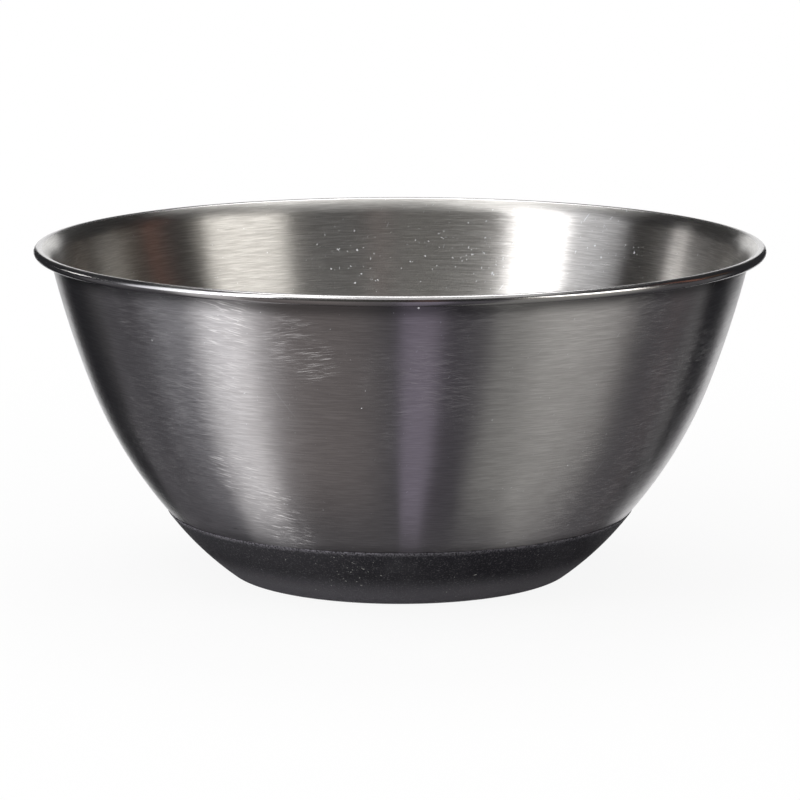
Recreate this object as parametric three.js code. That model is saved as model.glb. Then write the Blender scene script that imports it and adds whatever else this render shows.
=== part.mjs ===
// Mixing bowl: a pressed stainless steel shell with a rolled rim, standing on a bonded silicone base.
// Millimetres, +Z up. The origin is the centre of the footprint, on the surface that the bowl stands on.
import * as THREE from "three";

const degrees = THREE.MathUtils.degToRad;

// Steel shell
const RIM_DIAMETER = 240; // over the rolled rim
const BOWL_HEIGHT = 109; // from the standing surface to the top of the rim
const SHEET = 0.6; // thickness of the steel
const ROLL_BORE = 2.1; // hollow inside the rolled edge
const ROLL_TURN = degrees(240); // how far the edge is rolled, from the top of the rim
const LIP_SLOPE = degrees(27); // rise of the lip where the roll begins
const FLARE_RADIUS = 7.1; // outer face, where the wall turns out into the lip
const WALL_TOP_SLOPE = degrees(76.5); // rise of the wall just below the flare
const UPPER_WALL_RADIUS = 340; // outer face of the upper wall
const WALL_BREAK_SLOPE = degrees(69.7); // rise where the two wall curves meet
const LOWER_WALL_RADIUS = 146; // outer face of the lower wall
const CORNER_RADIUS = 48; // outer face, between the wall and the flat floor

// Silicone base
const BASE_HEIGHT = 21.5; // inner top edge of the silicone
const BASE_EDGE = 0.5; // thickness of the silicone at its top edge
const EDGE_ROUND = 0.25; // rounding of the top edge
const SIDE_RADIUS = 100; // bulge of the outer side
const FOOT_OVERHANG = 15.6; // standing ring beyond the flat of the steel floor
const FOOT_ROUND = 3; // between the standing ring and the outer side
const FOOT_WIDTH = 16; // of the standing ring
const RECESS_DEPTH = 1; // of the underside inside the ring
const RECESS_STEP = 1.5; // width of the slanted step into the recess
const FLOOR_WEB = 2; // silicone below the steel floor

// Adhesive
const FILM = 0.2; // thickness of the adhesive
const FILM_CLEARANCE = 0.05; // to the steel and to the silicone
const FILM_SETBACK = 2; // edge of the silicone above the edge of the adhesive

// Fineness of the curves
const TURN_STEPS = 72; // around the axis
const WALL_STEP = degrees(5);
const CORNER_STEP = degrees(9);
const SIDE_STEP = degrees(4);
const FLARE_STEP = degrees(11);
const ROLL_STEP = degrees(30);
const ROUND_STEP = degrees(30);

const SQUARE = degrees(90);

// A profile is drawn as radius and height, and its slope is the rise of its tangent over the horizontal.
// The outward direction at a slope leaves the bowl at right angles to the sheet.
const outward = (slope) => new THREE.Vector2(Math.sin(slope), -Math.cos(slope));

const moved = (point, slope, distance) => point.clone().addScaledVector(outward(slope), distance);

const directionSlope = (from, to) => Math.atan2(to.x - from.x, from.y - to.y);

// Slopes that divide a bend into even steps, without its first one.
function divided(start, end, step) {
  const count = Math.max(1, Math.ceil(Math.abs(end - start) / step));
  return Array.from({ length: count }, (_, i) => THREE.MathUtils.lerp(start, end, (i + 1) / count));
}

// Points of an arc after its first one. A negative radius bends the other way, as in the flare and the roll.
const arc = (centre, radius, start, end, step) =>
  divided(start, end, step).map((slope) => moved(centre, slope, radius));

const BASE_OFFSET = FILM + 2 * FILM_CLEARANCE; // from the steel's outer face to the silicone
const STEEL_UNDERSIDE = RECESS_DEPTH + FLOOR_WEB + BASE_OFFSET;
const ROLL_RADIUS = ROLL_BORE / 2 + SHEET;

// Centres of the steel's arcs, from the rim down. Each arc runs on from the one above it without a kink.
const rollCentre = new THREE.Vector2(RIM_DIAMETER / 2 - ROLL_RADIUS, BOWL_HEIGHT - ROLL_RADIUS);
const flareCentre = moved(rollCentre, LIP_SLOPE, FLARE_RADIUS - ROLL_BORE / 2);
const upperCentre = moved(flareCentre, WALL_TOP_SLOPE, -FLARE_RADIUS - UPPER_WALL_RADIUS);
const lowerCentre = moved(upperCentre, WALL_BREAK_SLOPE, UPPER_WALL_RADIUS - LOWER_WALL_RADIUS);

// The wall ends at the slope from which the corner comes down just to the floor.
const cornerDrop = lowerCentre.y - CORNER_RADIUS - STEEL_UNDERSIDE;
const cornerSlope = Math.acos(cornerDrop / (LOWER_WALL_RADIUS - CORNER_RADIUS));
const cornerCentre = moved(lowerCentre, cornerSlope, LOWER_WALL_RADIUS - CORNER_RADIUS);

// The curves of the steel's outer face from the flat floor to the flare, each with the slope that it ends at.
const bend = (centre, radius, start, end, step) => ({ centre, radius, start, end, step });
const bends = [
  bend(cornerCentre, CORNER_RADIUS, 0, cornerSlope, CORNER_STEP),
  bend(lowerCentre, LOWER_WALL_RADIUS, cornerSlope, WALL_BREAK_SLOPE, WALL_STEP),
  bend(upperCentre, UPPER_WALL_RADIUS, WALL_BREAK_SLOPE, WALL_TOP_SLOPE, WALL_STEP),
];

// Slope at which a face at an offset from the steel's outer face reaches a height.
function slopeAtHeight(height, offset) {
  const endsAbove = ({ centre, radius, end }) => moved(centre, end, radius + offset).y >= height;
  const { centre, radius } = bends.find(endsAbove);
  return Math.acos((centre.y - height) / (radius + offset));
}

// Where the silicone and the adhesive end on the wall.
const edgeSlope = slopeAtHeight(BASE_HEIGHT, BASE_OFFSET);
const filmSlope = slopeAtHeight(BASE_HEIGHT - FILM_SETBACK, BASE_OFFSET);

// A face at an offset from the steel's outer face, from the axis along the floor and up the wall to a slope.
// Every such face is divided at the same slopes, so that the facets of nested faces lie side by side.
function wallFace(offset, endSlope) {
  const floorEdge = moved(cornerCentre, 0, CORNER_RADIUS + offset);
  const points = [new THREE.Vector2(0, floorEdge.y), floorEdge];
  for (const { centre, radius, start, end, step } of bends) {
    const stops = [start, ...[filmSlope, edgeSlope].filter((slope) => slope > start && slope < end), end];
    const slopes = stops.slice(1).flatMap((stop, i) => divided(stops[i], stop, step));
    const reached = slopes.filter((slope) => slope <= endSlope);
    points.push(...reached.map((slope) => moved(centre, slope, radius + offset)));
  }
  return points;
}

// One side of the steel sheet, from the axis to the open end of the roll.
function steelFace(offset) {
  const rollBend = offset - ROLL_BORE / 2;
  return [
    ...wallFace(offset, WALL_TOP_SLOPE),
    ...arc(flareCentre, offset - FLARE_RADIUS, WALL_TOP_SLOPE, LIP_SLOPE, FLARE_STEP),
    ...arc(rollCentre, rollBend, LIP_SLOPE, 0, ROLL_STEP),
    ...arc(rollCentre, rollBend, 0, -ROLL_TURN, ROLL_STEP),
  ];
}

function shellProfile() {
  return [...steelFace(0), ...steelFace(-SHEET).reverse()];
}

function filmProfile() {
  return [...wallFace(FILM_CLEARANCE + FILM, filmSlope), ...wallFace(FILM_CLEARANCE, filmSlope).reverse()];
}

function baseProfile() {
  const footRadius = cornerCentre.x + FOOT_OVERHANG;
  const ringInside = footRadius - FOOT_WIDTH;
  const footCentre = new THREE.Vector2(footRadius, FOOT_ROUND);

  // The top edge stands square to the steel, and its outer corner is rounded.
  const innerFace = wallFace(BASE_OFFSET, edgeSlope);
  const edgeCentre = moved(innerFace.at(-1), edgeSlope, BASE_EDGE - EDGE_ROUND);
  edgeCentre.addScaledVector(outward(edgeSlope + SQUARE), -EDGE_ROUND);

  // The outer side is one arc that runs smoothly into the rounding at the foot and into that at the edge.
  const rise = edgeCentre.clone().sub(footCentre);
  const footReach = SIDE_RADIUS - FOOT_ROUND;
  const edgeReach = SIDE_RADIUS - EDGE_ROUND;
  const along = (footReach ** 2 - edgeReach ** 2 + rise.lengthSq()) / (2 * rise.length());
  const across = Math.sqrt(footReach ** 2 - along ** 2);
  const ahead = rise.clone().normalize();
  const inward = new THREE.Vector2(-ahead.y, ahead.x);
  const sideCentre = footCentre.clone().addScaledVector(ahead, along).addScaledVector(inward, across);
  const sideStart = directionSlope(sideCentre, footCentre);
  const sideEnd = directionSlope(sideCentre, edgeCentre);

  return [
    new THREE.Vector2(0, RECESS_DEPTH),
    new THREE.Vector2(ringInside - RECESS_STEP, RECESS_DEPTH),
    new THREE.Vector2(ringInside, 0),
    new THREE.Vector2(footRadius, 0),
    ...arc(footCentre, FOOT_ROUND, 0, sideStart, ROUND_STEP),
    ...arc(sideCentre, SIDE_RADIUS, sideStart, sideEnd, SIDE_STEP),
    ...arc(edgeCentre, EDGE_ROUND, sideEnd, edgeSlope + SQUARE, ROUND_STEP),
    ...innerFace.reverse(),
  ];
}

// Turns a profile into a named solid around the Z axis.
function turned(name, profile, material) {
  const geometry = new THREE.LatheGeometry(profile, TURN_STEPS).rotateX(SQUARE);
  const mesh = new THREE.Mesh(geometry, new THREE.MeshStandardMaterial(material));
  mesh.name = name;
  return mesh;
}

const bowl = new THREE.Group();
bowl.name = "bowl";
bowl.add(
  turned("bowl_shell", shellProfile(), { color: 0xb4b3b4, roughness: 0.35, metalness: 1 }),
  turned("bonding_film", filmProfile(), { color: 0x8c8a86, roughness: 0.6, metalness: 0 }),
  turned("non_slip_base", baseProfile(), { color: 0x26252a, roughness: 0.75, metalness: 0 }),
);

export default bowl;
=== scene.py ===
"""Brushed steel mixing bowl on a silicone base, with a plain studio around it."""
import math

import bmesh
import bpy
from mathutils import Matrix, Vector


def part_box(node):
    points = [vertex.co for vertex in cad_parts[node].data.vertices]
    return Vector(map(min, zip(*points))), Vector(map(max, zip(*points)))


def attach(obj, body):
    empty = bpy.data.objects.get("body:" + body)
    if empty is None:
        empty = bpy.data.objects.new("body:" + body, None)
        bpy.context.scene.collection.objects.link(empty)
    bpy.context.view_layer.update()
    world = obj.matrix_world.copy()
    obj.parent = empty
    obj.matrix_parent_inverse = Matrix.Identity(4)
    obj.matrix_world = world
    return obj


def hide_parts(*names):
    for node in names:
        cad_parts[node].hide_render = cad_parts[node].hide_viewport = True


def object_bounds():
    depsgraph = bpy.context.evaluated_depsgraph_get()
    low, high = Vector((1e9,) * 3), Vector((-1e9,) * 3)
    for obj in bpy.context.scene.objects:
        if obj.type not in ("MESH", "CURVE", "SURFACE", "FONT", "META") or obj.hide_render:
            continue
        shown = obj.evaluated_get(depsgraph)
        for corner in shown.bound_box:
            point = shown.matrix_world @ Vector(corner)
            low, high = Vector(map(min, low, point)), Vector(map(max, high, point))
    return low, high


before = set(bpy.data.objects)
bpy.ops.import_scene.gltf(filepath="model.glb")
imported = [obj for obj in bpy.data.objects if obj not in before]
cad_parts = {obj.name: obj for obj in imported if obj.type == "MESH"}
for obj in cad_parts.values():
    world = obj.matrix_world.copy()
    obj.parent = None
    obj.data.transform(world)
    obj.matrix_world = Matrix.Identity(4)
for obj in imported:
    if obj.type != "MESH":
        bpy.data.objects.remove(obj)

bl_info = {
    "name": "Steel mixing bowl",
    "version": (1, 0, 0),
    "blender": (4, 5, 0),
    "location": "View3D > Sidebar > Bowl",
    "description": "Builds a brushed steel mixing bowl on a silicone base, and a studio around it",
    "category": "Add Mesh",
}

CAD_LOW, CAD_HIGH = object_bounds()
UP = Vector((0, 0, 1))
FULL_TURN = math.tau
QUARTER_TURN = math.pi / 2
TURN_STEPS = 192


def length(name, description, default):
    return bpy.props.FloatProperty(
        name=name, description=description, default=default, unit="LENGTH", precision=5)


def slope(name, description, default):
    return bpy.props.FloatProperty(
        name=name, description=description, default=math.radians(default),
        subtype="ANGLE", unit="ROTATION")


def colour(name, description, default):
    return bpy.props.FloatVectorProperty(
        name=name, description=description, default=default, subtype="COLOR", size=3, min=0, max=1)


def share(name, description, default):
    return bpy.props.FloatProperty(
        name=name, description=description, default=default, subtype="FACTOR", min=0, max=1)


class BowlShellSettings(bpy.types.PropertyGroup):
    """Sizes of the pressed steel shell"""

    rim_diameter: length("Rim diameter", "Over the rolled rim", CAD_HIGH[0] - CAD_LOW[0])
    height: length("Height", "From the standing surface to the top of the rim", CAD_HIGH[2])
    sheet: length("Sheet", "Thickness of the steel", 0.0006)
    underside: length("Underside", "Height of the outer floor face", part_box("bowl_shell")[0][2])
    roll_bore: length("Roll bore", "Hollow inside the rolled edge", 0.0021)
    roll_turn: slope("Roll turn", "How far the edge is rolled, from the top of the rim", 240)
    lip_slope: slope("Lip slope", "Rise of the lip where the roll begins", 27)
    flare_radius: length("Flare radius", "Outer face, where the wall turns out into the lip", 0.0071)
    wall_top_slope: slope("Wall top slope", "Rise of the wall just below the flare", 76.5)
    upper_wall_radius: length("Upper wall radius", "Outer face of the upper wall", 0.34)
    wall_break_slope: slope("Wall break slope", "Rise where the two wall curves meet", 69.7)
    lower_wall_radius: length("Lower wall radius", "Outer face of the lower wall", 0.146)
    corner_radius: length("Corner radius", "Outer face, between the wall and the flat floor", 0.048)


class SiliconeBaseSettings(bpy.types.PropertyGroup):
    """Sizes of the silicone base"""

    height: length("Height", "Inner top edge of the silicone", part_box("non_slip_base")[1][2])
    offset: length("Offset", "From the steel's outer face to the silicone", 0.0003)
    lip_offset: length("Lip offset", "From the steel's outer face to the lip at the top edge", 0.00005)
    lip: length("Lip", "Height over which the silicone closes in on the steel", 0.0015)
    edge: length("Edge", "Thickness of the silicone at its top edge", 0.00025)
    edge_round: length("Edge rounding", "Rounding of the top edge", 0.0001)
    side_radius: length("Side radius", "Bulge of the outer side", 0.1)
    foot_overhang: length("Foot overhang", "Standing ring beyond the flat of the steel floor", 0.0156)
    foot_round: length("Foot rounding", "Between the standing ring and the outer side", 0.003)
    foot_width: length("Foot width", "Width of the standing ring", 0.016)
    recess_depth: length("Recess depth", "Depth of the underside inside the ring", 0.001)
    recess_step: length("Recess step", "Width of the slanted step into the recess", 0.0015)


class FinishSettings(bpy.types.PropertyGroup):
    """Colours and surface of the bowl's materials"""

    steel: colour("Steel", "Brushed steel on the outside", (0.53, 0.515, 0.52))
    steel_bright: colour("Bright steel", "Ridges between the brush lines outside", (0.74, 0.725, 0.73))
    steel_inside: colour("Inside steel", "Brushed steel on the inside", (0.46, 0.445, 0.425))
    steel_inside_bright: colour(
        "Bright inside steel", "Ridges between the brush lines inside", (0.65, 0.635, 0.61))
    # Painted shade: this colour darkens the steel in the hollow under the rim, on the lower half of the
    # roll and just above the silicone.
    steel_painted_shade: colour(
        "Dark steel", "Steel in the hollow under the rim and next to the silicone", (0.2, 0.195, 0.2))
    steel_scuffed: colour("Scuffed steel", "Dashes where the steel is rubbed", (0.93, 0.91, 0.90))
    rim: colour("Rim", "Polished steel of the rolled rim", (0.66, 0.65, 0.64))
    dust: colour("Dust", "Specks of dust on the steel", (0.85, 0.86, 0.88))
    silicone: colour("Silicone", "Clean black silicone", (0.015, 0.014, 0.019))
    # Dust and painted light: this grey also lightens the silicone towards the bottom, as if lit by the
    # pale floor, and on the side facing the left softbox.
    silicone_greyed_and_lit: colour("Worn silicone", "Silicone where dust has greyed it", (0.125, 0.122, 0.128))
    # Painted highlight as well as rubbing: this colour lightens the top edge, most on the side facing
    # the left softbox, and the bottom of the silicone as painted light from the floor.
    silicone_rubbed_and_lit: colour("Rubbed silicone", "Silicone at its rubbed top edge", (0.22, 0.21, 0.235))
    silicone_fleck: colour("Flecks", "Pale flecks on the silicone", (0.36, 0.36, 0.34))
    adhesive: colour("Adhesive", "Cured adhesive under the base", (0.27, 0.26, 0.24))


class StudioSettings(bpy.types.PropertyGroup):
    """Camera, floor and light"""

    camera_distance: length("Camera distance", "From the bowl's axis, level", 1.2195)
    camera_height: length("Camera height", "Above the floor", 0.2766)
    camera_pitch: slope("Camera pitch", "Downward tilt of the camera", 10.244)
    lens: bpy.props.FloatProperty(name="Lens", description="Focal length in millimetres", default=168.35)
    floor: colour("Floor", "Pale floor", (0.9, 0.9, 0.9))
    ambient: share("Ambient", "Level of the surrounding light", 0.4)
    surround: length("Surround", "Radius of the flags and cards around the bowl", 1.7)


# Profiles

def outward(angle):
    """The way out of the bowl, at right angles to a sheet whose profile rises at this angle."""
    return Vector((math.sin(angle), 0, -math.cos(angle)))


def at(radius, height):
    return Vector((radius, 0, height))


class Profile:
    """A wire in the plane of radius and height, drawn from its first point by lines and arcs."""

    def __init__(self, start):
        self.mesh = bmesh.new()
        self.tip = self.mesh.verts.new(start)

    def line(self, end):
        made = bmesh.ops.extrude_vert_indiv(self.mesh, verts=[self.tip])
        self.tip = made["verts"][0]
        self.tip.co = end

    def arc(self, centre, from_slope, to_slope, steps):
        """Goes on around a centre, between two slopes of the wire over the horizontal."""
        made = bmesh.ops.spin(
            self.mesh, geom=[self.tip], cent=centre, axis=(0, 1, 0), dvec=(0, 0, 0),
            angle=from_slope - to_slope, steps=steps,
            use_merge=False, use_normal_flip=False, use_duplicate=False)
        self.tip = [part for part in made["geom_last"] if isinstance(part, bmesh.types.BMVert)][0]

    def turn(self, name, steps, first=0, angle=FULL_TURN):
        """Turns the wire about the bowl's axis, all the way or over an angle, and returns the object."""
        bm = self.mesh
        bmesh.ops.rotate(bm, verts=bm.verts[:], cent=(0, 0, 0), matrix=Matrix.Rotation(first, 3, "Z"))
        bmesh.ops.spin(
            bm, geom=bm.verts[:] + bm.edges[:], cent=(0, 0, 0), axis=UP, dvec=(0, 0, 0), angle=angle,
            steps=steps, use_merge=angle == FULL_TURN, use_normal_flip=False, use_duplicate=False)
        bmesh.ops.remove_doubles(bm, verts=bm.verts[:], dist=1e-6)
        bmesh.ops.dissolve_degenerate(bm, edges=bm.edges[:], dist=1e-7)
        bmesh.ops.recalc_face_normals(bm, faces=bm.faces[:])
        for face in bm.faces:
            face.smooth = True
        mesh = bpy.data.meshes.new(name)
        bm.to_mesh(mesh)
        bm.free()
        piece = bpy.data.objects.new(name, mesh)
        bpy.context.scene.collection.objects.link(piece)
        return piece


class SteelCurves:
    """Centres and end slopes of the arcs of the steel's outer face."""

    def __init__(self, shell):
        to_upper = shell.flare_radius + shell.upper_wall_radius
        to_lower = shell.upper_wall_radius - shell.lower_wall_radius
        to_corner = shell.lower_wall_radius - shell.corner_radius
        self.roll_radius = shell.roll_bore / 2 + shell.sheet
        self.roll = at(shell.rim_diameter / 2 - self.roll_radius, shell.height - self.roll_radius)
        self.flare = self.roll + outward(shell.lip_slope) * (shell.flare_radius - shell.roll_bore / 2)
        self.upper = self.flare - outward(shell.wall_top_slope) * to_upper
        self.lower = self.upper + outward(shell.wall_break_slope) * to_lower
        drop = self.lower.z - shell.corner_radius - shell.underside
        self.corner_slope = math.acos(drop / to_corner)
        self.corner = self.lower + outward(self.corner_slope) * to_corner


# Materials

class Nodes:
    """A node tree under construction, with short ways to add its nodes."""

    def __init__(self, tree):
        self.tree = tree
        self.tree.nodes.clear()

    def node(self, kind, **inputs):
        made = self.tree.nodes.new(kind)
        for name, value in inputs.items():
            self.put(made.inputs[name.replace("_", " ")], value)
        return made

    def put(self, socket, value):
        if isinstance(value, bpy.types.NodeSocket):
            self.tree.links.new(value, socket)
        elif hasattr(value, "__len__") and len(value) == 3 and len(socket.default_value) == 4:
            socket.default_value = (*value, 1)
        else:
            socket.default_value = value

    def maths(self, operation, *values):
        made = self.node("ShaderNodeMath")
        made.operation = operation
        for socket, value in zip(made.inputs, values):
            self.put(socket, value)
        return made.outputs[0]

    def vector(self, operation, *values):
        made = self.node("ShaderNodeVectorMath")
        made.operation = operation
        sockets = [socket for socket in made.inputs if socket.enabled]
        for socket, value in zip(sockets, values):
            self.put(socket, value)
        return [socket for socket in made.outputs if socket.enabled][0]

    def noise(self, vector, scale, detail=2, roughness=0.5):
        made = self.node(
            "ShaderNodeTexNoise", Vector=vector, Scale=scale, Detail=detail, Roughness=roughness)
        return made.outputs["Fac"]

    def fade(self, value, low, high, out_low=0.0, out_high=1.0):
        made = self.node(
            "ShaderNodeMapRange", Value=value,
            From_Min=low, From_Max=high, To_Min=out_low, To_Max=out_high)
        made.interpolation_type = "SMOOTHSTEP"
        return made.outputs["Result"]

    def blend(self, amount, first, second):
        made = self.node("ShaderNodeMix")
        made.data_type = "RGBA"
        sockets = [socket for socket in made.inputs if socket.enabled]
        for socket, value in zip(sockets, (amount, first, second)):
            self.put(socket, value)
        return [socket for socket in made.outputs if socket.enabled][0]

    def spread(self, value):
        """One number as all three parts of a vector."""
        return self.node("ShaderNodeCombineXYZ", X=value, Y=value, Z=value).outputs[0]

    def bump(self, height, strength, distance, normal=None):
        made = self.node("ShaderNodeBump", Height=height, Strength=strength, Distance=distance)
        if normal is not None:
            self.put(made.inputs["Normal"], normal)
        return made.outputs["Normal"]

    def direct_sight(self):
        """1 on camera rays and in mirror and glass reflections, 0 on the rays that carry soft light."""
        path = self.node("ShaderNodeLightPath")
        seen = self.maths("MAXIMUM", path.outputs["Is Camera Ray"], path.outputs["Is Glossy Ray"])
        return self.maths("MAXIMUM", seen, path.outputs["Is Transmission Ray"])


class Finish(Nodes):
    """The nodes of a new material."""

    def __init__(self, name):
        self.material = bpy.data.materials.new(name)
        self.material.use_nodes = True
        super().__init__(self.material.node_tree)
        self.output = self.node("ShaderNodeOutputMaterial")

    def surface(self, **inputs):
        """Ends the material in one Principled shader."""
        shader = self.node("ShaderNodeBsdfPrincipled", **inputs)
        self.tree.links.new(shader.outputs[0], self.output.inputs["Surface"])
        return self.material


class TurnedFinish(Finish):
    """A finish of a turned piece, with the direction around its axis and the way along its profile."""

    def __init__(self, name):
        super().__init__(name)
        self.place = self.node("ShaderNodeTexCoord").outputs["Object"]
        split = self.node("ShaderNodeSeparateXYZ", Vector=self.place)
        self.side = split.outputs["X"]
        self.height = split.outputs["Z"]
        level = self.vector("MULTIPLY", self.place, (1, 1, 0))
        self.radius = self.vector("LENGTH", level)
        self.around = self.vector("NORMALIZE", level)
        self.along = self.maths("ADD", self.height, self.radius)

    def streaks(self, length_scale, width_scale, lean=0.0, shift=0.0, detail=2, roughness=0.5):
        """Noise drawn out around the axis, with a lean that tips its streaks as seen from the front."""
        along = self.maths("MULTIPLY_ADD", self.side, lean, self.along)
        across = self.node("ShaderNodeCombineXYZ", X=shift, Z=self.maths("MULTIPLY", along, width_scale))
        stretched = self.vector("SCALE", self.around, length_scale)
        return self.noise(self.vector("ADD", stretched, across.outputs[0]), 1, detail, roughness)

    def rods(self, rotation, stretch, scale, low, high):
        """Sparse thin lines that lie along one direction in space, for scratches."""
        leaned = self.node("ShaderNodeVectorRotate", Vector=self.place)
        leaned.rotation_type = "EULER_XYZ"
        leaned.inputs["Rotation"].default_value = rotation
        squeezed = self.vector("MULTIPLY", leaned.outputs["Vector"], (1, stretch, stretch))
        return self.fade(self.noise(squeezed, scale, 1), low, high)

    def near(self, spots):
        """Spots that fade out, each a point, a reach and a strength."""
        amount = 0.0
        for point, reach, strength in spots:
            distance = self.vector("DISTANCE", self.place, point)
            spot = self.fade(distance, reach * 0.4, reach, strength, 0)
            amount = self.maths("MAXIMUM", spot, amount)
        return amount

    def scratch(self, point, across, half_width, reach):
        """A thin line through a point, at right angles to a direction across it."""
        beside = self.vector("DOT_PRODUCT", self.vector("SUBTRACT", self.place, point), across)
        line = self.fade(self.maths("ABSOLUTE", beside), 0, half_width, 1, 0)
        return self.maths("MULTIPLY", line, self.near([(point, reach, 1)]))


# Where rubbing has left dashes on the outside, and where dust lies on the inside: points on the wall,
# each with the reach of its patch and its strength.
RISING_SCUFFS = [((-0.032, -0.107, 0.093), 0.012, 0.6), ((-0.026, -0.107, 0.087), 0.0095, 0.7)]
FALLING_SCUFFS = [
    ((-0.053, -0.099, 0.096), 0.014, 0.8), ((-0.056, -0.092, 0.080), 0.017, 0.45),
    ((-0.062, -0.085, 0.070), 0.018, 0.3), ((-0.051, -0.080, 0.048), 0.014, 0.8),
    ((-0.041, -0.078, 0.036), 0.014, 1), ((-0.034, -0.074, 0.029), 0.011, 1)]
DUSTY_SPOTS = [
    ((0.013, 0.109, 0.091), 0.02, 1), ((-0.018, 0.108, 0.088), 0.02, 1),
    ((0.029, 0.106, 0.090), 0.022, 1), ((0.075, 0.084, 0.100), 0.02, 1)]

# A scratch on the outside: its middle, the direction across it, half its width and half its length.
LONG_SCRATCH = ((-0.0355, -0.0993, 0.0735), (-0.736, 0.457, -0.5), 0.0003, 0.0085)


class BrushedSteel(TurnedFinish):
    """Steel brushed around the axis, with the streaks that its shade, roughness and relief share."""

    def __init__(self, name):
        super().__init__(name)
        self.fine = self.streaks(14, 2400, detail=3, roughness=0.6)
        self.medium = self.streaks(6, 800, shift=3.1, detail=3, roughness=0.55)
        self.broad = self.streaks(2.2, 120, shift=7.7)
        self.rising = self.streaks(18, 2600, lean=-0.2, shift=11.3)
        self.falling = self.streaks(18, 2000, lean=0.28, shift=17.9)

    def brushed(self, dull, bright, amount):
        """The steel's colour, brighter on the ridges between the brush lines."""
        ridge = self.maths("MULTIPLY", self.fade(self.fine, 0.35, 0.7), amount)
        return self.blend(ridge, dull, bright)

    def scuffs(self):
        """Dashes where the outside is rubbed, in two directions."""
        faint = self.fade(self.noise(self.place, 20, 3, 0.55), 0.5, 0.64)
        faint = self.maths("MULTIPLY", faint, 0.2)
        up = self.maths("MAXIMUM", self.near(RISING_SCUFFS), faint)
        up = self.maths("MULTIPLY", up, self.fade(self.rising, 0.5, 0.7))
        down = self.maths("MAXIMUM", self.near(FALLING_SCUFFS), faint)
        down = self.maths("MULTIPLY", down, self.fade(self.falling, 0.52, 0.74))
        return self.maths("MAXIMUM", up, down)

    def scratches(self):
        """Sparse short scratches in two directions."""
        first = self.rods((0.5, 0.9, 0.4), 40, 40, 0.77, 0.8)
        second = self.rods((1.9, 0.3, 1.2), 40, 36, 0.77, 0.8)
        return self.maths("MAXIMUM", first, second)

    def specks(self, rarity):
        """Specks of dust where a fine noise rises above the rarity."""
        return self.fade(self.maths("SUBTRACT", self.noise(self.place, 800, 2), rarity), 0, 0.04)

    def roughness(self):
        return self.maths("MULTIPLY_ADD", self.maths("SUBTRACT", self.medium, 0.5), 0.1, 0.3)

    def relief(self):
        """The normal over the brush lines and the faint lines that cross them."""
        normal = self.bump(self.maths("MULTIPLY_ADD", self.fine, 0.4, self.medium), 0.3, 0.0002)
        normal = self.bump(self.broad, 0.1, 0.0008, normal)
        return self.bump(self.maths("ADD", self.rising, self.falling), 0.02, 0.0002, normal)

    def metal(self, shade, covered, rough, normal):
        """Ends the material in steel that gleams across its brush lines, less so where it is covered."""
        tangent = self.node("ShaderNodeTangent")
        tangent.direction_type = "RADIAL"
        tangent.axis = "Z"
        return self.surface(
            Base_Color=shade, Metallic=self.maths("SUBTRACT", 1, covered),
            Roughness=rough, Normal=normal,
            Anisotropic=1, Anisotropic_Rotation=0.25, Tangent=tangent.outputs[0])


def outer_steel_finish(finish, rim_top, base_top):
    steel = BrushedSteel("brushed_steel_outside")
    scuff = steel.scuffs()
    dust = steel.specks(0.765)
    long_scratch = steel.maths("MULTIPLY", steel.scratch(*LONG_SCRATCH), 0.35)
    lines = steel.maths("MAXIMUM", steel.scratches(), long_scratch)
    # Painted shade: the outside darkens in the hollow under the rim and in a band just above the
    # silicone.
    hollow = steel.fade(steel.height, rim_top - 0.009, rim_top - 0.0045, 0, 0.8)
    painted_base_shade = steel.fade(steel.height, base_top, base_top + 0.004, 0.5, 0)

    shade = steel.brushed(finish.steel, finish.steel_bright, 0.7)
    shade = steel.blend(steel.maths("MAXIMUM", hollow, painted_base_shade), shade, finish.steel_painted_shade)
    shade = steel.blend(scuff, shade, finish.steel_scuffed)
    shade = steel.blend(steel.maths("MAXIMUM", dust, lines), shade, finish.dust)
    covered = steel.maths("MAXIMUM", dust, steel.maths("MULTIPLY", scuff, 0.45))
    rough = steel.maths("MULTIPLY_ADD", scuff, 0.12, steel.roughness())
    return steel.metal(shade, covered, rough, steel.bump(scuff, 0.1, 0.0002, steel.relief()))


def inner_steel_finish(finish):
    steel = BrushedSteel("brushed_steel_inside")
    dust = steel.specks(steel.maths("MULTIPLY_ADD", steel.near(DUSTY_SPOTS), -0.07, 0.74))
    shade = steel.brushed(finish.steel_inside, finish.steel_inside_bright, 0.85)
    shade = steel.blend(steel.maths("MAXIMUM", dust, steel.scratches()), shade, finish.dust)
    return steel.metal(shade, dust, steel.roughness(), steel.relief())


def polished_rim_finish(finish, rim_top):
    rim = TurnedFinish("polished_rim")
    medium = rim.streaks(5, 900, shift=5.3, detail=3)
    shade = rim.blend(rim.fade(medium, 0.3, 0.7), finish.steel, finish.rim)
    # Painted shade: the lower half of the roll darkens towards its underside.
    under = rim.fade(rim.height, rim_top - 0.0032, rim_top - 0.0016, 0.85, 0)
    return rim.surface(
        Base_Color=rim.blend(under, shade, finish.steel_painted_shade), Metallic=1,
        Roughness=rim.maths("MULTIPLY_ADD", medium, 0.1, 0.14), Normal=rim.bump(medium, 0.1, 0.0002))


# Where pale flecks have settled on the silicone.
FLECKED = [((-0.014, -0.068, 0.013), 0.013, 1)]


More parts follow.
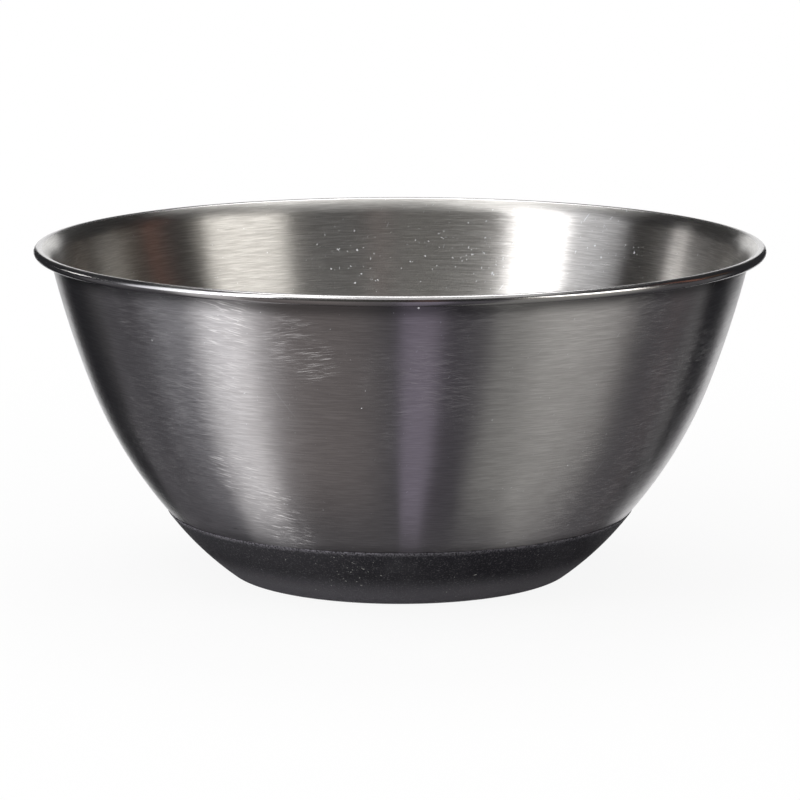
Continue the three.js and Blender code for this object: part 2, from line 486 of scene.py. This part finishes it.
def silicone_finish(finish, edge_height):
    silicone = TurnedFinish("black_silicone")
    grain = silicone.noise(silicone.place, 2200, 3, 0.6)
    cloud = silicone.noise(silicone.place, 45, 4, 0.6)
    speckle = silicone.fade(silicone.noise(silicone.place, 1700, 2, 0.6), 0.52, 0.72)
    rare = silicone.maths("MULTIPLY_ADD", silicone.near(FLECKED), -0.05, 0.765)
    fleck = silicone.maths("SUBTRACT", silicone.noise(silicone.place, 900, 1), rare)
    fleck = silicone.fade(fleck, 0, 0.03)
    # Painted light: lighter towards the bottom, standing in for light from the pale floor below.
    foot = silicone.fade(silicone.height, 0.0005, 0.012, 1, 0)
    edge = silicone.fade(silicone.height, edge_height - 0.0018, edge_height - 0.0001)
    # The side that faces the left softbox, where the painted light and the painted highlight are
    # stronger.
    lit_side = silicone.vector("DOT_PRODUCT", silicone.around, (-0.75, -0.66, 0))
    # Painted highlight: the top edge lightens in dashes like rubbing, most on the side facing the left
    # softbox, and the bottom lightens as painted light from the floor.
    rubbed = silicone.maths("MULTIPLY", edge, silicone.fade(silicone.streaks(160, 900), 0.35, 0.62))
    rubbed = silicone.maths("MULTIPLY", rubbed, silicone.fade(lit_side, 0.3, 0.95, 0.55, 1))
    rubbed = silicone.maths("MAXIMUM", rubbed, silicone.maths("MULTIPLY", foot, 0.5))
    # Greyed by dust and grain, with painted light towards the bottom and on the side facing the left
    # softbox.
    wear_and_painted_light = silicone.maths("MULTIPLY", silicone.fade(cloud, 0.45, 0.75), 0.15)
    wear_and_painted_light = silicone.maths("MULTIPLY_ADD", speckle, 0.6, wear_and_painted_light)
    wear_and_painted_light = silicone.maths("MULTIPLY_ADD", foot, 0.5, wear_and_painted_light)
    wear_and_painted_light = silicone.maths("MULTIPLY_ADD", silicone.fade(lit_side, 0.5, 1), 0.2, wear_and_painted_light)
    shade = silicone.blend(silicone.maths("MINIMUM", wear_and_painted_light, 1), finish.silicone, finish.silicone_greyed_and_lit)
    shade = silicone.blend(rubbed, shade, finish.silicone_rubbed_and_lit)
    return silicone.surface(
        Base_Color=silicone.blend(fleck, shade, finish.silicone_fleck), Specular_IOR_Level=0.2,
        Roughness=silicone.maths("MULTIPLY_ADD", cloud, 0.16, 0.56),
        Normal=silicone.bump(silicone.maths("ADD", grain, rubbed), 0.5, 0.00025))


def adhesive_finish(finish):
    adhesive = TurnedFinish("cured_adhesive")
    smear = adhesive.noise(adhesive.place, 90, 3)
    pale = tuple(min(1, part * 1.4) for part in finish.adhesive)
    return adhesive.surface(
        Base_Color=adhesive.blend(smear, finish.adhesive, pale),
        Roughness=adhesive.maths("MULTIPLY_ADD", smear, 0.2, 0.5),
        Normal=adhesive.bump(smear, 0.2, 0.0002))


def floor_finish(studio):
    """White to the eye, and matt around the bowl so that its shadow shows."""
    floor = TurnedFinish("pale_floor")
    matt = floor.node("ShaderNodeBsdfDiffuse", Color=studio.floor)
    white = floor.node("ShaderNodeEmission", Color=(1, 1, 1))
    cover = floor.fade(floor.radius, 0.12, 0.5, 0.9, 1)
    mix = floor.node("ShaderNodeMixShader", Fac=floor.maths("MULTIPLY", floor.direct_sight(), cover))
    floor.tree.links.new(matt.outputs[0], mix.inputs[1])
    floor.tree.links.new(white.outputs[0], mix.inputs[2])
    floor.tree.links.new(mix.outputs[0], floor.output.inputs["Surface"])
    return floor.material


def card_finish(name, tone, pools):
    """A card that glows at one tone, with painted pools of light that fade out to both sides of a
    direction around it.
    """
    card = TurnedFinish(name)
    light = tone
    for azimuth, half_width, bright in pools:
        turn = math.radians(azimuth)
        facing = card.vector("DOT_PRODUCT", card.around, (math.sin(turn), -math.cos(turn), 0))
        amount = card.fade(facing, math.cos(math.radians(half_width)), 1)
        light = card.vector("MULTIPLY_ADD", card.spread(amount), bright, light)
    glow = card.node("ShaderNodeEmission", Color=light)
    card.tree.links.new(glow.outputs[0], card.output.inputs["Surface"])
    return card.material


# Pieces

def draw_steel_face(profile, shell, curves, outer):
    """Draws one side of the sheet: up from the floor on the outside, or down from the roll inside."""
    bends = [
        (curves.corner, 0, curves.corner_slope, 14),
        (curves.lower, curves.corner_slope, shell.wall_break_slope, 14),
        (curves.upper, shell.wall_break_slope, shell.wall_top_slope, 8),
        (curves.flare, shell.wall_top_slope, shell.lip_slope, 16),
        (curves.roll, shell.lip_slope, -shell.roll_turn, 24),
    ]
    if not outer:
        bends = [(centre, end, start, steps) for centre, start, end, steps in reversed(bends)]
    for bend in bends:
        profile.arc(*bend)


class BOWL_OT_shell(bpy.types.Operator):
    """Turn the pressed steel shell with its flared and rolled rim"""

    bl_idname = "bowl.shell"
    bl_label = "Steel Shell"

    def execute(self, context):
        shell = context.scene.bowl_shell
        base = context.scene.bowl_base
        finish = context.scene.bowl_finish
        curves = SteelCurves(shell)
        profile = Profile(at(0, shell.underside))
        profile.line(at(curves.corner.x, shell.underside))
        draw_steel_face(profile, shell, curves, outer=True)
        profile.line(profile.tip.co - outward(-shell.roll_turn) * shell.sheet)
        draw_steel_face(profile, shell, curves, outer=False)
        profile.line(at(0, shell.underside + shell.sheet))
        piece = profile.turn("steel_shell", TURN_STEPS)
        piece.data.materials.append(outer_steel_finish(finish, shell.height, base.height))
        piece.data.materials.append(inner_steel_finish(finish))
        piece.data.materials.append(polished_rim_finish(finish, shell.height))
        for face in piece.data.polygons:
            centre = at(face.center.xy.length, face.center.z)
            rolled = (centre - curves.roll).length < curves.roll_radius * 1.02
            face.material_index = 2 if rolled else int(face.normal.z > 0)
        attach(piece, "root")
        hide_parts("bowl_shell")
        return {"FINISHED"}


class BOWL_OT_base(bpy.types.Operator):
    """Turn the silicone base and finish the adhesive under it"""

    bl_idname = "bowl.base"
    bl_label = "Silicone Base"

    def execute(self, context):
        shell = context.scene.bowl_shell
        base = context.scene.bowl_base
        finish = context.scene.bowl_finish
        curves = SteelCurves(shell)
        foot = at(curves.corner.x + base.foot_overhang, base.foot_round)
        ring_inside = foot.x - base.foot_width
        reach = shell.lower_wall_radius + base.offset
        lip_reach = shell.lower_wall_radius + base.lip_offset
        seat_slope = math.acos((curves.lower.z - base.height + base.lip) / reach)
        edge_slope = math.acos((curves.lower.z - base.height) / lip_reach)
        inner_edge = curves.lower + outward(edge_slope) * lip_reach
        edge = inner_edge + outward(edge_slope) * (base.edge - base.edge_round)
        edge -= outward(edge_slope + QUARTER_TURN) * base.edge_round

        # The side's arc touches both roundings: its centre is where two circles around theirs meet.
        rise = edge - foot
        foot_reach = base.side_radius - base.foot_round
        edge_reach = base.side_radius - base.edge_round
        along = (foot_reach ** 2 - edge_reach ** 2 + rise.length_squared) / (2 * rise.length)
        across = math.sqrt(foot_reach ** 2 - along ** 2)
        ahead = rise.normalized()
        side = foot + ahead * along + Vector((-ahead.z, 0, ahead.x)) * across
        side_start = math.atan2(foot.x - side.x, side.z - foot.z)
        side_end = math.atan2(edge.x - side.x, side.z - edge.z)

        profile = Profile(at(0, base.recess_depth))
        profile.line(at(ring_inside - base.recess_step, base.recess_depth))
        profile.line(at(ring_inside, 0))
        profile.line(at(foot.x, 0))
        profile.arc(foot, 0, side_start, 6)
        profile.arc(side, side_start, side_end, 16)
        profile.arc(edge, side_end, edge_slope + QUARTER_TURN, 6)
        profile.line(inner_edge)
        profile.line(curves.lower + outward(seat_slope) * reach)
        profile.arc(curves.lower, seat_slope, curves.corner_slope, 6)
        profile.arc(curves.corner, curves.corner_slope, 0, 14)
        profile.line(at(0, shell.underside - base.offset))
        piece = profile.turn("silicone_base", TURN_STEPS)
        piece.data.materials.append(silicone_finish(finish, base.height))
        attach(piece, "root")
        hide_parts("non_slip_base")

        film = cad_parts["bonding_film"]
        film.data.materials.clear()
        film.data.materials.append(adhesive_finish(finish))
        return {"FINISHED"}


class BOWL_OT_studio(bpy.types.Operator):
    """Set the camera, the pale floor, the lamps, and the flags and cards that the steel mirrors"""

    bl_idname = "bowl.studio"
    bl_label = "Studio"

    def execute(self, context):
        studio = context.scene.bowl_studio
        self.camera(studio)
        self.floor(studio)
        self.world(studio)
        self.surround(studio.surround)
        self.lamp("left_softbox", -54, 1.25, 0.64, (0.54, 0.6), 5.8, (1.0, 1.0, 1.02))
        self.lamp("upper_left_softbox", -56, 0.75, 1.35, (0.4, 1.0), 3.0, (1.0, 1.0, 1.0))
        self.lamp("right_softbox", 60, 1.25, 0.5, (0.74, 0.4), 3.5, (1.0, 0.985, 0.95))
        self.lamp("top_softbox", 0, 0.75, 1.7, (2.2, 1.5), 6.0, (1.0, 1.0, 1.0), (0, -0.75, 0))
        self.lamp("back_softbox", 180, 0.72, 1.5, (1.0, 0.95), 7.5, (1.0, 1.0, 1.0))
        return {"FINISHED"}

    def camera(self, studio):
        lens = bpy.data.cameras.new("camera")
        lens.lens = studio.lens
        lens.sensor_width = 36
        camera = bpy.data.objects.new("camera", lens)
        camera.location = (0, -studio.camera_distance, studio.camera_height)
        camera.rotation_euler = (QUARTER_TURN - studio.camera_pitch, 0, 0)
        bpy.context.scene.collection.objects.link(camera)
        bpy.context.scene.camera = camera
        bpy.context.scene.view_settings.view_transform = "Standard"

    def floor(self, studio):
        bm = bmesh.new()
        bmesh.ops.create_grid(bm, x_segments=1, y_segments=1, size=12)
        mesh = bpy.data.meshes.new("floor")
        bm.to_mesh(mesh)
        bm.free()
        mesh.materials.append(floor_finish(studio))
        floor = bpy.data.objects.new("floor", mesh)
        bpy.context.scene.collection.objects.link(floor)

    def world(self, studio):
        """White where it is seen, and at the ambient level where it lights."""
        world = bpy.data.worlds.new("studio")
        world.use_nodes = True
        sky = Nodes(world.node_tree)
        level = sky.node("ShaderNodeMapRange", Value=sky.direct_sight(), To_Min=studio.ambient, To_Max=1)
        back = sky.node("ShaderNodeBackground", Color=(1, 1, 1), Strength=level.outputs["Result"])
        output = sky.node("ShaderNodeOutputWorld")
        sky.tree.links.new(back.outputs[0], output.inputs["Surface"])
        bpy.context.scene.world = world

    def surround(self, reach):
        """Dark flags all around, and cards in front of them, which glow at their tones and which only
        mirror reflections show: painted reflections of a dark room, of the floor in the bowl's shadow
        and of pools of light.
        """
        side_level, foot_level, flag_level, card_level = 0.0003, 0.0006, 0.0009, 0.0012
        horizon, card_top, ceiling = 0.62, 1.95, 2.0
        wall = reach * 0.98
        dark = (0.026, 0.026, 0.029)

        def level(start, end, height):
            return [at(start, height), at(end, height)]

        def upright(radius, bottom, top):
            return [at(radius, bottom), at(radius, top)]

        def floor_card(name, first, last, front, start, tone, *pools):
            card = self.card(name, first, last, level(start, wall, card_level), tone, *pools)
            card.location.y = -front

        def wall_card(name, first, last, bottom, top, tone, *pools):
            self.card(name, first, last, upright(wall, bottom, top), tone, *pools)

        # Painted shade in reflections: dark sheets over the floor under and in front of the bowl, where
        # the floor lies in the bowl's shadow. The foot flag's pool is painted light on the floor to the
        # sides of and behind the bowl.
        self.card("foot_flag", -99, 96, level(0.056, 0.15, foot_level), (0.105, 0.102, 0.108),
                  (180, 105, (3.0, 3.0, 3.0)))
        floor_flag = self.card("floor_flag", -152, 148, level(0, reach * 1.1, flag_level), dark)
        floor_flag.location.y = -0.15
        side_flag = self.card("side_flag", -170, 170, level(0, reach * 1.7, side_level), dark)
        side_flag.location.y = -1.2
        self.card("wall_flag", -163, 163, upright(reach, foot_level, ceiling), dark)
        self.card("top_flag", -180, 180, level(reach, 0, ceiling), (0.1, 0.1, 0.1))
        wall_card("back_flag", 148, 212, horizon, ceiling, (0.06, 0.06, 0.06))

        # Painted reflections: the floor cards give the floor near the bowl lit and shaded tones, with
        # pools of light.
        floor_card("left_floor_card", -110, -1, 0.035, 0.07, (0.11, 0.107, 0.116),
                   (-30, 30, (0.105, 0.088, 0.075)), (-58, 14, (0.62, 0.61, 0.6)))
        floor_card("lavender_floor_card", 0, 15, 0.06, 0.03, (0.27, 0.245, 0.3))
        floor_card("front_floor_card", 15, 33, 0.06, 0.03, (0.088, 0.083, 0.094))
        floor_card("right_floor_card", 33, 112, 0.06, 0.05, (0.112, 0.108, 0.114),
                   (53, 38, (0.22, 0.222, 0.2)))
        floor_card("side_floor_card", 111, 117, 0.06, 0.14, (0.2, 0.2, 0.2))
        # Painted reflections: the wall cards give glowing strips and pools that stand in for lights, and
        # faint coloured glows.
        wall_card("left_wall_card", -90, -1, foot_level, card_top, (0.05, 0.048, 0.044),
                  (-72, 26, (1.35, 1.37, 1.45)))
        wall_card("far_left_card", -121, -112, 0.36, 0.5, (4.4, 4.3, 4.3))
        wall_card("lavender_wall_card", 5, 11, foot_level, card_top, (0.13, 0.08, 0.075))
        wall_card("right_wall_card", 36, 82, foot_level, 0.75, (0.2, 0.19, 0.175),
                  (62, 30, (0.4, 0.38, 0.34)))
        wall_card("warm_card", 107, 119, 0.32, 0.65, (0.1, 0.065, 0.04))
        wall_card("red_card", 99, 103.5, 0.2, 1.3, (0.4, 0.17, 0.115))

    def card(self, name, first, last, corners, tone, *pools):
        """A sheet turned about the bowl between two directions, counted from the front to the right."""
        profile = Profile(corners[0])
        for corner in corners[1:]:
            profile.line(corner)
        steps = max(4, round((last - first) / 5))
        card = profile.turn(
            name, steps, math.radians(first) - QUARTER_TURN, math.radians(last - first))
        card.data.materials.append(card_finish(name, tone, pools))
        card.visible_camera = False
        card.visible_diffuse = False
        card.visible_shadow = False
        card.visible_transmission = False
        return card

    def lamp(self, name, azimuth, distance, height, size, power, tint, target=(0, 0, 0.08)):
        light = bpy.data.lights.new(name, "AREA")
        light.shape = "RECTANGLE"
        light.size, light.size_y = size
        light.energy = power
        light.color = tint
        lamp = bpy.data.objects.new(name, light)
        turn = math.radians(azimuth)
        lamp.location = (math.sin(turn) * distance, -math.cos(turn) * distance, height)
        aim = Vector(target) - lamp.location
        lamp.rotation_euler = aim.to_track_quat("-Z", "Y").to_euler()
        lamp.visible_camera = False
        bpy.context.scene.collection.objects.link(lamp)


class BOWL_PT_sidebar(bpy.types.Panel):
    """Lists the bowl's pieces and its studio"""

    bl_idname = "BOWL_PT_sidebar"
    bl_label = "Mixing Bowl"
    bl_space_type = "VIEW_3D"
    bl_region_type = "UI"
    bl_category = "Bowl"

    def draw(self, context):
        for operator in OPERATORS:
            self.layout.operator(operator.bl_idname)


OPERATORS = (BOWL_OT_shell, BOWL_OT_base, BOWL_OT_studio)
SETTINGS = {
    "bowl_shell": BowlShellSettings,
    "bowl_base": SiliconeBaseSettings,
    "bowl_finish": FinishSettings,
    "bowl_studio": StudioSettings,
}


def register():
    for group in SETTINGS.values():
        bpy.utils.register_class(group)
    for name, group in SETTINGS.items():
        setattr(bpy.types.Scene, name, bpy.props.PointerProperty(type=group))
    for operator in OPERATORS:
        bpy.utils.register_class(operator)
    bpy.utils.register_class(BOWL_PT_sidebar)


def unregister():
    bpy.utils.unregister_class(BOWL_PT_sidebar)
    for operator in reversed(OPERATORS):
        bpy.utils.unregister_class(operator)
    for name, group in reversed(SETTINGS.items()):
        delattr(bpy.types.Scene, name)
        bpy.utils.unregister_class(group)


def main():
    register()
    bpy.ops.bowl.shell()
    bpy.ops.bowl.base()
    bpy.ops.bowl.studio()


if __name__ == "__main__":
    main()
